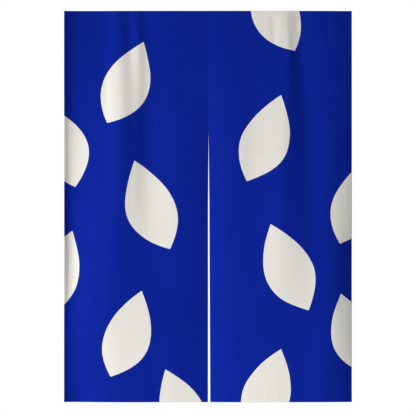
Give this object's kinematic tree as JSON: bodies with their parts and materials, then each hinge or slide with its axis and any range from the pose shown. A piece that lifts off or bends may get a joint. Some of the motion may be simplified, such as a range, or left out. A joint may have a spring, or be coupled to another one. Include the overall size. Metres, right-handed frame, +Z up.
{
  "type": "noren curtain",
  "caption": "Split doorway curtain: cloth panels sewn together at the top and open below, hanging from the top edge in soft uneven folds.",
  "frame": {"origin": "middle of the top edge, in the cloth", "axes": "+Z up, +X to the right seen from the front, -Y towards the viewer; the hem hangs at Z -1.2 m"},
  "size_m": [0.883, 0.035, 1.2],
  "materials": {
    "cloth": "printed plain-weave cloth, cobalt blue ground with cream motifs, matte with a slight sheen"
  },
  "bodies": {
    "root": {"left_panel": "cloth", "right_panel": "cloth"}
  },
  "joints": []
}
